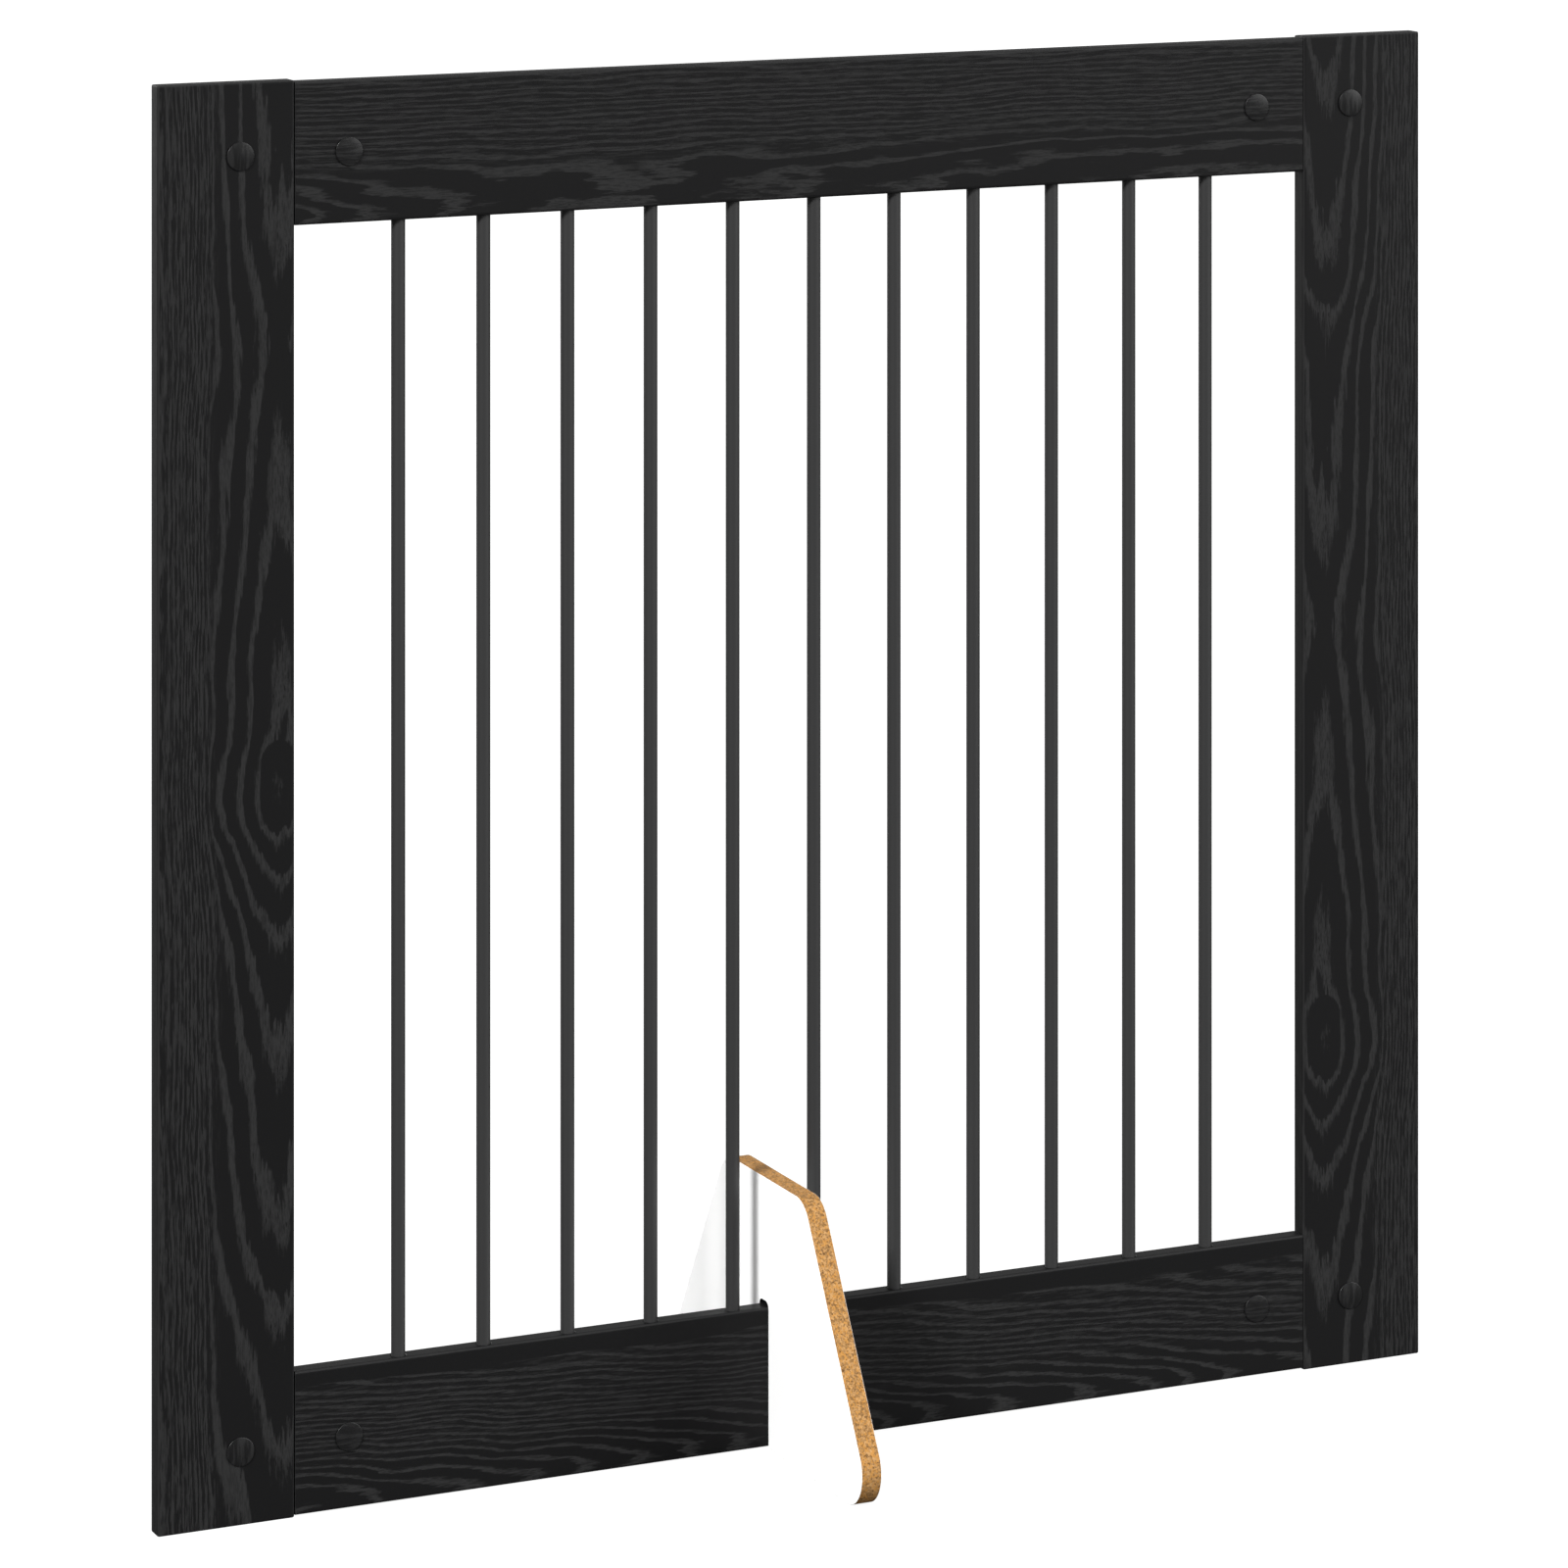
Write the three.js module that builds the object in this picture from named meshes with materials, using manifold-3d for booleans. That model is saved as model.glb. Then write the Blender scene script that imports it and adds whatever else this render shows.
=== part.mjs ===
// A free-standing wooden safety gate: two upright stiles and two rails around eleven
// thin steel rods, with one notched foot that drops over the bottom rail.
// The four corners are held by cam fittings under round covers, with a dowel on each side.
//
// Millimetres. +X runs to the right along the gate, +Y to its back, +Z up.
// The origin is on the floor, below the middle of the gate.

import * as THREE from "three";
import { mergeVertices } from "three/addons/utils/BufferGeometryUtils.js";
import Module from "manifold-3d";

// Gate frame
const GATE_WIDTH = 800;
const GATE_HEIGHT = 800;
const BOARD_WIDTH = 80;
const BOARD_THICKNESS = 12;
const EDGE_RADIUS = 1.6; // long edges of every board
const END_RADIUS = 1; // sawn ends, only eased
const RAIL_INSET = 1; // rails stop this far short of the stile ends
const JOINT_GAP = 0.2; // between a rail end and its stile

// Rods
const ROD_COUNT = 11;
const ROD_PITCH = 51.3;
const ROD_DIAMETER = 8;
const ROD_IN_RAIL = 15; // length held in each rail
const ROD_HOLE_CLEARANCE = 0.4; // on the diameter
const ROD_HOLE_EXTRA = 1; // the hole is this much deeper than the rod's end

// Corner fittings: one double-ended bolt, two cams, two covers and two dowels at each corner
const CAM_OFFSET = 32; // from the joint line to a cam's centre
const CAM_HOLE_DIAMETER = 15;
const CAM_HOLE_DEPTH = 9.5;
const CAM_CLEARANCE = 0.3;
const CAM_RECESS_DIAMETER = 4.4;
const CAM_RECESS_DEPTH = 1.8;
const CAM_ROOF = 2.3; // metal left above the bolt head
const COVER_DIAMETER = 16;
const COVER_RIM = 0.5;
const COVER_CROWN = 1.3;
const COVER_PLUG_DIAMETER = 3.4;
const COVER_PLUG_LENGTH = 1.7;
const COVER_GAP = 0.1;
const BOLT_HEAD_DIAMETER = 6.6;
const BOLT_HEAD_LENGTH = 5;
const BOLT_NECK_DIAMETER = 4;
const BOLT_NECK_END = 8.5; // from the head's centre
const BOLT_SHAFT_DIAMETER = 6.2;
const BOLT_COLLAR_DIAMETER = 7;
const BOLT_BORE_DIAMETER = 7.8;
const DOWEL_DIAMETER = 6;
const DOWEL_LENGTH = 30;
const DOWEL_OFFSET = 24; // above and below the rail's centre line
const DOWEL_CHAMFER = 0.8;
const DOWEL_CLEARANCE = 0.6;

// Foot: a trapezoid board that stands square to the gate, notched from below
const FOOT_BASE = 300;
const FOOT_TOP = 112;
const FOOT_HEIGHT = 155;
const FOOT_CORNER = 20;
const FOOT_THICKNESS = 12;
const NOTCH_CLEARANCE = 1.2; // on the board's thickness
const NOTCH_HEADROOM = 3; // above the bottom rail
const NOTCH_CORNER = 4;

// Facets on round pieces
const ROD_SIDES = 24;
const BORE_SIDES = 20;
const SMALL_SIDES = 12;
const EDGE_STEPS = 2;
const CORNER_STEPS = 5;

// Worked out from the above
const STILE_X = (GATE_WIDTH - BOARD_WIDTH) / 2;
const JOINT_X = GATE_WIDTH / 2 - BOARD_WIDTH;
const BOTTOM_RAIL_Z = RAIL_INSET + BOARD_WIDTH / 2;
const TOP_RAIL_Z = GATE_HEIGHT - BOTTOM_RAIL_Z;
const RAIL_LENGTH = 2 * (JOINT_X - JOINT_GAP);
const ROD_LENGTH = TOP_RAIL_Z - BOTTOM_RAIL_Z - BOARD_WIDTH + 2 * ROD_IN_RAIL;
const FRONT_Y = -BOARD_THICKNESS / 2;
const FOOT_X = -ROD_PITCH / 2; // halfway between the fifth and the sixth rod
const CORNERS = [
  { name: "top_left", side: -1, z: TOP_RAIL_Z },
  { name: "top_right", side: 1, z: TOP_RAIL_Z },
  { name: "bottom_left", side: -1, z: BOTTOM_RAIL_Z },
  { name: "bottom_right", side: 1, z: BOTTOM_RAIL_Z },
];
const DOWEL_PLACES = [
  { name: "upper", dz: DOWEL_OFFSET },
  { name: "lower", dz: -DOWEL_OFFSET },
];

const stainedWood = new THREE.MeshStandardMaterial({ color: 0x232323, roughness: 0.6 });
const rodPaint = new THREE.MeshStandardMaterial({ color: 0x3b3b3b, roughness: 0.5, metalness: 0.3 });
const coverPlastic = new THREE.MeshStandardMaterial({ color: 0x262626, roughness: 0.45 });
const whiteBoard = new THREE.MeshStandardMaterial({ color: 0xf7f7f5, roughness: 0.5 });
const castZinc = new THREE.MeshStandardMaterial({ color: 0xa9abad, roughness: 0.4, metalness: 0.9 });
const platedSteel = new THREE.MeshStandardMaterial({ color: 0xb4b2a8, roughness: 0.3, metalness: 1 });
const beech = new THREE.MeshStandardMaterial({ color: 0xd3b48a, roughness: 0.7 });

const wasm = await Module();
wasm.setup();

// A closed geometry as a solid that can be joined and cut.
function solidOf(geometry) {
  const bare = geometry.clone();
  bare.deleteAttribute("normal");
  bare.deleteAttribute("uv");
  const merged = mergeVertices(bare, 1e-4);
  return new wasm.Manifold(
    new wasm.Mesh({
      numProp: 3,
      vertProperties: new Float32Array(merged.attributes.position.array),
      triVerts: new Uint32Array(merged.index.array),
    }),
  );
}

// The geometry of a solid, with flat normals.
function geometryOf(solid) {
  const mesh = solid.getMesh();
  const geometry = new THREE.BufferGeometry();
  geometry.setAttribute("position", new THREE.BufferAttribute(mesh.vertProperties, 3));
  geometry.setIndex(new THREE.BufferAttribute(mesh.triVerts, 1));
  geometry.computeVertexNormals();
  return geometry;
}

// A geometry less each of the cutters, all in the same coordinates.
function cut(geometry, cutters) {
  const solid = cutters.reduce((left, cutter) => left.subtract(solidOf(cutter)), solidOf(geometry));
  return geometryOf(solid);
}

// A rectangle centred on the origin whose corners are quarter circles.
function roundedRectangle(width, height, radius) {
  const x = width / 2 - radius;
  const y = height / 2 - radius;
  const shape = new THREE.Shape();
  shape.absarc(x, y, radius, 0, Math.PI / 2);
  shape.absarc(-x, y, radius, Math.PI / 2, Math.PI);
  shape.absarc(-x, -y, radius, Math.PI, 1.5 * Math.PI);
  shape.absarc(x, -y, radius, 1.5 * Math.PI, 2 * Math.PI);
  return shape;
}

// A board along Z, centred on the origin: wide in X, thin in Y, with every edge eased.
function boardAlongZ(length) {
  const outline = roundedRectangle(BOARD_WIDTH, BOARD_THICKNESS, EDGE_RADIUS);
  const board = new THREE.ExtrudeGeometry(outline, {
    depth: length - 2 * END_RADIUS,
    curveSegments: EDGE_STEPS,
    bevelThickness: END_RADIUS,
    bevelSize: END_RADIUS,
    bevelOffset: -END_RADIUS,
    bevelSegments: 1,
  });
  return board.translate(0, 0, END_RADIUS - length / 2);
}

// A round cutter or pin along one axis, from one end to the other.
function roundAlong(axis, diameter, from, to, sides) {
  const geometry = new THREE.CylinderGeometry(diameter / 2, diameter / 2, Math.abs(to - from), sides);
  geometry.translate(0, (from + to) / 2, 0);
  if (axis === "x") geometry.rotateZ(-Math.PI / 2);
  if (axis === "z") geometry.rotateX(Math.PI / 2);
  return geometry;
}

// The holes that one corner fitting needs in a board, in gate coordinates.
// inward is -1 or +1: the way from the joint line into the board along X.
function cornerHoles(jointX, z, inward) {
  const camX = jointX + inward * CAM_OFFSET;
  const mouth = jointX - inward;
  const dowelEnd = jointX + inward * (DOWEL_LENGTH / 2 + 1);
  const pocket = roundAlong("y", CAM_HOLE_DIAMETER, FRONT_Y - 1, FRONT_Y + CAM_HOLE_DEPTH, BORE_SIDES);
  const boltBore = roundAlong("x", BOLT_BORE_DIAMETER, mouth, camX, SMALL_SIDES);
  const dowelBores = DOWEL_PLACES.map(({ dz }) =>
    roundAlong("x", DOWEL_DIAMETER + DOWEL_CLEARANCE, mouth, dowelEnd, SMALL_SIDES).translate(0, 0, z + dz),
  );
  return [pocket.translate(camX, 0, z), boltBore.translate(0, 0, z), ...dowelBores];
}

// An upright: its long inner edge takes the fittings of the two rails.
function stileGeometry(side) {
  const stile = boardAlongZ(GATE_HEIGHT).translate(side * STILE_X, 0, GATE_HEIGHT / 2);
  const holes = [BOTTOM_RAIL_Z, TOP_RAIL_Z].flatMap((z) => cornerHoles(side * JOINT_X, z, side));
  return cut(stile, holes);
}

function rodXs() {
  return Array.from({ length: ROD_COUNT }, (_, i) => (i - (ROD_COUNT - 1) / 2) * ROD_PITCH);
}

// A rail: its ends take the corner fittings, and the edge that faces the rods their blind holes.
// rodSide is +1 where the rods stand above the rail and -1 where they hang below it.
function railGeometry(z, rodSide) {
  const rail = boardAlongZ(RAIL_LENGTH).rotateY(Math.PI / 2).translate(0, 0, z);
  const edge = z + (rodSide * BOARD_WIDTH) / 2;
  const bottom = edge - rodSide * (ROD_IN_RAIL + ROD_HOLE_EXTRA);
  const holes = [-1, 1].flatMap((side) => cornerHoles(side * (RAIL_LENGTH / 2), z, -side));
  const diameter = ROD_DIAMETER + ROD_HOLE_CLEARANCE;
  const rodHoles = rodXs().map((x) =>
    roundAlong("z", diameter, bottom, edge + rodSide, BORE_SIDES).translate(x, 0, 0),
  );
  return cut(rail, [...holes, ...rodHoles]);
}

// The cam: a drum with a screwdriver recess in front, and inside it a chamber for the
// bolt's head with a throat for its neck. The throat opens towards +X.
function camGeometry() {
  const front = FRONT_Y + CAM_CLEARANCE;
  const back = FRONT_Y + CAM_HOLE_DEPTH - CAM_CLEARANCE;
  const roof = front + CAM_ROOF;
  const drum = roundAlong("y", CAM_HOLE_DIAMETER - 2 * CAM_CLEARANCE, front, back, BORE_SIDES);
  const recess = roundAlong("y", CAM_RECESS_DIAMETER, front - 1, front + CAM_RECESS_DEPTH, SMALL_SIDES);
  const depth = back + 1 - roof;
  const chamberWidth = BOLT_HEAD_DIAMETER + 1;
  const chamber = new THREE.BoxGeometry(chamberWidth, depth, chamberWidth);
  const throat = new THREE.BoxGeometry(CAM_HOLE_DIAMETER, depth, BOLT_NECK_DIAMETER + 0.8);
  return cut(drum, [
    recess,
    chamber.translate(0, roof + depth / 2, 0),
    throat.translate(CAM_HOLE_DIAMETER / 2, roof + depth / 2, 0),
  ]);
}

// A body of revolution about the Y axis, from (radius, y) points, closed at both ends.
function turned(points, sides) {
  return new THREE.LatheGeometry(
    points.map(([radius, y]) => new THREE.Vector2(radius, y)),
    sides,
  );
}

// The cover: a thin rim, a crown that is a shallow arc, and a plug that grips the cam's recess.
// It faces the front, so its crown points to -Y.
function coverGeometry() {
  const radius = COVER_DIAMETER / 2;
  const rise = COVER_CROWN - COVER_RIM;
  const crown = [1, 0.75, 0.4, 0].map((share) => [
    share * radius,
    COVER_RIM + rise * Math.sqrt(1 - share * share),
  ]);
  const profile = [
    [0, -COVER_PLUG_LENGTH],
    [COVER_PLUG_DIAMETER / 2, -COVER_PLUG_LENGTH],
    [COVER_PLUG_DIAMETER / 2, 0],
    [radius, 0],
    ...crown,
  ];
  return turned(profile, BORE_SIDES).rotateX(Math.PI).translate(0, FRONT_Y - COVER_GAP, 0);
}

// The double-ended bolt, along X and centred on the joint line: at each end a head for a cam,
// a thin neck, then the shaft, with a collar in the middle.
function boltGeometry() {
  const tip = CAM_OFFSET + BOLT_HEAD_LENGTH / 2;
  const neckStart = CAM_OFFSET - BOLT_HEAD_LENGTH / 2;
  const neckEnd = CAM_OFFSET - BOLT_NECK_END;
  const half = [
    [0, tip],
    [BOLT_HEAD_DIAMETER / 2 - 1, tip],
    [BOLT_HEAD_DIAMETER / 2, tip - 1],
    [BOLT_HEAD_DIAMETER / 2, neckStart + 1],
    [BOLT_NECK_DIAMETER / 2, neckStart],
    [BOLT_NECK_DIAMETER / 2, neckEnd],
    [BOLT_SHAFT_DIAMETER / 2, neckEnd],
    [BOLT_SHAFT_DIAMETER / 2, 2],
    [BOLT_COLLAR_DIAMETER / 2, 2],
  ];
  const lower = half.map(([radius, y]) => [radius, -y]);
  return turned([...lower, ...half.reverse()], SMALL_SIDES).rotateZ(-Math.PI / 2);
}

// A wooden dowel along X with chamfered ends.
function dowelGeometry() {
  const radius = DOWEL_DIAMETER / 2;
  const end = DOWEL_LENGTH / 2;
  const half = [
    [0, end],
    [radius - DOWEL_CHAMFER, end],
    [radius, end - DOWEL_CHAMFER],
  ];
  const lower = half.map(([r, y]) => [r, -y]);
  return turned([...lower, ...half.reverse()], SMALL_SIDES).rotateZ(-Math.PI / 2);
}

// A closed outline through the given corners, in order, each rounded to its own radius.
function roundedOutline(corners) {
  const shape = new THREE.Shape();
  corners.forEach(({ at, radius }, i) => {
    const before = corners[(i + corners.length - 1) % corners.length].at;
    const after = corners[(i + 1) % corners.length].at;
    const toBefore = before.clone().sub(at).normalize();
    const toAfter = after.clone().sub(at).normalize();
    const halfAngle = Math.acos(toBefore.dot(toAfter)) / 2;
    const reach = radius / Math.tan(halfAngle);
    const start = at.clone().addScaledVector(toBefore, reach);
    const end = at.clone().addScaledVector(toAfter, reach);
    if (i === 0) shape.moveTo(start.x, start.y);
    else shape.lineTo(start.x, start.y);
    if (radius === 0) return;
    const bisector = toBefore.clone().add(toAfter).normalize();
    const centre = at.clone().addScaledVector(bisector, radius / Math.sin(halfAngle));
    const from = start.clone().sub(centre).angle();
    const to = end.clone().sub(centre).angle();
    const turn = toBefore.clone().cross(toAfter);
    shape.absarc(centre.x, centre.y, radius, from, to, turn > 0);
  });
  return shape;
}

// The foot's outline, in (Y, Z): a trapezoid with round corners, and a notch open below
// that takes the bottom rail.
function footOutline() {
  const halfNotch = (BOARD_THICKNESS + NOTCH_CLEARANCE) / 2;
  const notchTop = RAIL_INSET + BOARD_WIDTH + NOTCH_HEADROOM;
  const corner = (x, y, radius) => ({ at: new THREE.Vector2(x, y), radius });
  return roundedOutline([
    corner(halfNotch, 0, 0),
    corner(FOOT_BASE / 2, 0, FOOT_CORNER),
    corner(FOOT_TOP / 2, FOOT_HEIGHT, FOOT_CORNER),
    corner(-FOOT_TOP / 2, FOOT_HEIGHT, FOOT_CORNER),
    corner(-FOOT_BASE / 2, 0, FOOT_CORNER),
    corner(-halfNotch, 0, 0),
    corner(-halfNotch, notchTop, NOTCH_CORNER),
    corner(halfNotch, notchTop, NOTCH_CORNER),
  ]);
}

// The foot: the outline stands in the YZ plane and is as thick as the other boards.
function footGeometry() {
  const foot = new THREE.ExtrudeGeometry(footOutline(), {
    depth: FOOT_THICKNESS,
    curveSegments: CORNER_STEPS,
    bevelEnabled: false,
  });
  foot.translate(0, 0, -FOOT_THICKNESS / 2);
  return foot.rotateX(Math.PI / 2).rotateZ(Math.PI / 2);
}

const gate = new THREE.Group();

function add(parent, name, geometry, material, x = 0, y = 0, z = 0) {
  const mesh = new THREE.Mesh(geometry, material);
  mesh.name = name;
  mesh.position.set(x, y, z);
  parent.add(mesh);
  return mesh;
}

add(gate, "stile_left", stileGeometry(-1), stainedWood);
add(gate, "stile_right", stileGeometry(1), stainedWood);
add(gate, "rail_top", railGeometry(TOP_RAIL_Z, -1), stainedWood);
add(gate, "rail_bottom", railGeometry(BOTTOM_RAIL_Z, 1), stainedWood);

rodXs().forEach((x, i) => {
  const rod = roundAlong("z", ROD_DIAMETER, -ROD_LENGTH / 2, ROD_LENGTH / 2, ROD_SIDES);
  add(gate, "rod_" + String(i + 1).padStart(2, "0"), rod, rodPaint, x, 0, GATE_HEIGHT / 2);
});

for (const { name, side, z } of CORNERS) {
  const corner = new THREE.Group();
  corner.position.set(side * JOINT_X, 0, z);
  add(corner, "bolt_" + name, boltGeometry(), platedSteel);
  // In the stile the cam's throat faces the joint, and in the rail it faces the other way.
  const inStile = camGeometry();
  const inRail = camGeometry();
  (side > 0 ? inStile : inRail).rotateY(Math.PI);
  add(corner, "cam_" + name + "_stile", inStile, castZinc, side * CAM_OFFSET);
  add(corner, "cam_" + name + "_rail", inRail, castZinc, -side * CAM_OFFSET);
  add(corner, "cover_" + name + "_stile", coverGeometry(), coverPlastic, side * CAM_OFFSET);
  add(corner, "cover_" + name + "_rail", coverGeometry(), coverPlastic, -side * CAM_OFFSET);
  for (const place of DOWEL_PLACES)
    add(corner, "dowel_" + name + "_" + place.name, dowelGeometry(), beech, 0, 0, place.dz);
  gate.add(corner);
}

add(gate, "support_foot", footGeometry(), whiteBoard, FOOT_X);

export default gate;
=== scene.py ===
"""A free-standing safety gate: black-stained boards, thin grey rods, a white-faced foot.

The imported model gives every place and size. The boards, rods, covers and the foot are made
again here as finer surfaces that stand for their solids; the hidden fittings stay as they are.
Lengths are metres in the scene and millimetres where a name ends in _MM.
"""

import math
from typing import NamedTuple

import bpy
import numpy as np
from mathutils import Matrix, Vector


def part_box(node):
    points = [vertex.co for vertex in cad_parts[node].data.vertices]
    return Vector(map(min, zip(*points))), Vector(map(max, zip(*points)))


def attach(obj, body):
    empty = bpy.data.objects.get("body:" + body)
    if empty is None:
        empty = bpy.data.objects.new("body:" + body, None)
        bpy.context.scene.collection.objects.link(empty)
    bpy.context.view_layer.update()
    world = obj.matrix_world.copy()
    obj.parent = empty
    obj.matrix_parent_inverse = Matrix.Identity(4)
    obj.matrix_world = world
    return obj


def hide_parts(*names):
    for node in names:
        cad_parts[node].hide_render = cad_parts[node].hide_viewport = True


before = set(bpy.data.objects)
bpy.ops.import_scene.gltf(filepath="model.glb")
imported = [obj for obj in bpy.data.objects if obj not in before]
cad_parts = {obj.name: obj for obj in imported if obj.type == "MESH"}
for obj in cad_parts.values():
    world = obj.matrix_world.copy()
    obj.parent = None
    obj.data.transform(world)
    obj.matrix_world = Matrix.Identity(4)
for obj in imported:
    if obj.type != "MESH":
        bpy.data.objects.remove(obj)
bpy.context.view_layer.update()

MM = 0.001
GATE_BODY = "gate_frame"
FOOT_BODY = "foot"

# Boards
EDGE_RADIUS = 1.6 * MM
END_RADIUS = 1.0 * MM        # of a stile's ends
BUTT_RADIUS = 0.35 * MM      # of a rail's ends, which stand against the stiles
ARC_STEPS = 8
END_STEPS = 4
FLAT_MARGIN = 0.5 * MM  # a line of points this far inside each rounded edge keeps the flat flat

# Holes in the boards
ROD_HOLE_PLAY = 0.2 * MM
ROD_HOLE_FLARE = 0.5 * MM
CAM_PLAY = 0.3 * MM
BOLT_PLAY = 0.4 * MM
DOWEL_PLAY = 0.3 * MM
HOLE_SIDES = 40

# Rods and covers
ROD_SIDES = 48
ROD_CHAMFER = 0.5 * MM
COVER_SIDES = 64
COVER_CROWN = 1.3 * MM
COVER_RIM = 0.45 * MM
COVER_RIM_RADIUS = 0.35 * MM
COVER_RIM_STEPS = 5
COVER_EASE = 0.1 * MM        # of the rim's lower edge
CROWN_SHARES = (0.97, 0.04)  # of the rim's radius: the crown's first and last points
CROWN_POINTS = 14
PLUG_RADIUS = 1.7 * MM
PLUG_EASE = 0.3 * MM

# Foot
FOOT_BASE = 299.8 * MM
FOOT_TOP = 112 * MM
FOOT_CORNER = 20 * MM
FOOT_CORNER_STEPS = 20
NOTCH_WIDTH = 13.2 * MM
NOTCH_HEADROOM = 3.0 * MM
NOTCH_CORNER = 4.0 * MM
NOTCH_CORNER_STEPS = 6
NOTCH_REACH = 85 * MM        # all of the notch lies below this height
LAMINATE = 0.15 * MM         # the thickness of each white face
LAMINATE_EASE = 0.12 * MM    # how far its edge is bevelled

# Camera: a level view camera turned to the right. Its film, taken as in front of the lens, is slid down
CAMERA_PLACE = Vector((-1.508, -3.310, 1.136))
CAMERA_TURN = math.radians(-25.18)
LENS_TO_FILM_MM = 144.2
FILM_SLIDE_MM = Vector((-2.41, -30.02))
FILM_WIDTH_MM = 36
NEAREST, FARTHEST = 0.05, 200

SHARP_ANGLE = math.radians(35)


# ---------------------------------------------------------------- meshes

def mesh_object(name, points, faces, smooth=True):
    """A mesh object at the origin from an (n, 3) array of points and a list of index loops."""
    mesh = bpy.data.meshes.new(name)
    mesh.from_pydata(np.asarray(points).tolist(), [], faces)
    mesh.validate()
    if smooth:
        mesh.shade_smooth()
        mesh.set_sharp_from_angle(angle=SHARP_ANGLE)
    piece = bpy.data.objects.new(name, mesh)
    bpy.context.scene.collection.objects.link(piece)
    return piece


def skin_faces(rings, count):
    """Index loops of a tube: ring i, point j is index i * count + j. The ends are one face each."""
    ring = np.arange(rings - 1)[:, None] * count
    here = np.arange(count)[None, :]
    following = (here + 1) % count
    quads = np.stack([ring + here, ring + following, ring + count + following, ring + count + here], -1)
    faces = quads.reshape(-1, 4).tolist()
    faces.append(list(range(count))[::-1])
    faces.append(list(range((rings - 1) * count, rings * count)))
    return faces


def rounded_rectangle(half_width, half_height, radius):
    """An outline, counter-clockwise: each corner is radius * (cos, sin) about its own centre over a
    quarter turn, with one more point on the straight side just before and just after it."""
    turn = np.linspace(0, math.pi / 2, ARC_STEPS + 1)
    arc = radius * np.stack([np.cos(turn), np.sin(turn)], -1)
    before = arc[:1] - [[0, FLAT_MARGIN]]
    after = arc[-1:] - [[FLAT_MARGIN, 0]]
    corner = np.concatenate([before, arc, after])
    corner += [half_width - radius, half_height - radius]
    flipped_x = (corner * [-1, 1])[::-1]
    return np.concatenate([corner, flipped_x, -corner, -flipped_x])


def board_points(length, half_width, half_thickness, end_radius):
    """A board along its third coordinate, centred. Station s has the section drawn in by
    e * (1 - sin a) at e * (1 - cos a) from the end, a from 0 to a quarter turn, which rounds the end
    by e; one more outline on the end face keeps that face flat."""
    turn = np.linspace(0, math.pi / 2, END_STEPS + 1)
    inset = end_radius * (1 - np.sin(turn))
    along = end_radius * (1 - np.cos(turn))
    inset = np.concatenate([[end_radius + FLAT_MARGIN], inset, [0]])
    along = np.concatenate([[0], along, [end_radius + FLAT_MARGIN]])
    inset = np.concatenate([inset, inset[::-1]])
    along = np.concatenate([along - length / 2, (length / 2 - along)[::-1]])
    rings = [
        rounded_rectangle(half_width - draw, half_thickness - draw, EDGE_RADIUS - min(draw, end_radius))
        for draw in inset
    ]
    count = len(rings[0])
    places = np.broadcast_to(along[:, None, None], (len(along), count, 1))
    points = np.concatenate([np.stack(rings), places], -1)
    return points.reshape(-1, 3), skin_faces(len(along), count)


def turned_points(profile, sides):
    """A body of revolution about the third axis: point (r, h) of the profile at turn t is
    (r cos t, r sin t, h). The profile runs from low to high and both ends are closed by a face."""
    profile = np.asarray(profile, float)
    turn = np.linspace(0, 2 * math.pi, sides, endpoint=False)
    radius = profile[:, 0][:, None]
    height = np.broadcast_to(profile[:, 1][:, None], (len(profile), sides))
    points = np.stack([radius * np.cos(turn), radius * np.sin(turn), height], -1)
    return points.reshape(-1, 3), skin_faces(len(profile), sides)


def turned_to(points, axis):
    """Points whose third coordinate runs along X, Y or Z instead, by a cyclic change of axes."""
    order = {"x": [2, 0, 1], "y": [1, 2, 0], "z": [0, 1, 2]}[axis]
    return points[:, order]


def joined(parts):
    """Several (points, faces) as one."""
    points, faces, start = [], [], 0
    for part_points, part_faces in parts:
        points.append(part_points)
        faces.extend([[index + start for index in loop] for loop in part_faces])
        start += len(part_points)
    return np.concatenate(points), faces


def carve(piece, *cutters):
    """The piece less each cutter, with the result kept as its own mesh."""
    for cutter in cutters:
        modifier = piece.modifiers.new(cutter.name, "BOOLEAN")
        modifier.operation = "DIFFERENCE"
        modifier.solver = "EXACT"
        modifier.object = cutter
    graph = bpy.context.evaluated_depsgraph_get()
    carved = bpy.data.meshes.new_from_object(piece.evaluated_get(graph))
    piece.modifiers.clear()
    piece.data = carved
    carved.shade_smooth()
    carved.set_sharp_from_angle(angle=SHARP_ANGLE)
    for cutter in cutters:
        bpy.data.objects.remove(cutter)
    return piece


def finish_piece(piece, body, material, slot, *nodes):
    """Gives a new piece its material and its body, and hides the CAD nodes that it stands for."""
    piece.data.materials.clear()
    piece.data.materials.append(material)
    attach(piece, body)
    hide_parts(*nodes)
    return piece


# ---------------------------------------------------------------- materials

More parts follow.
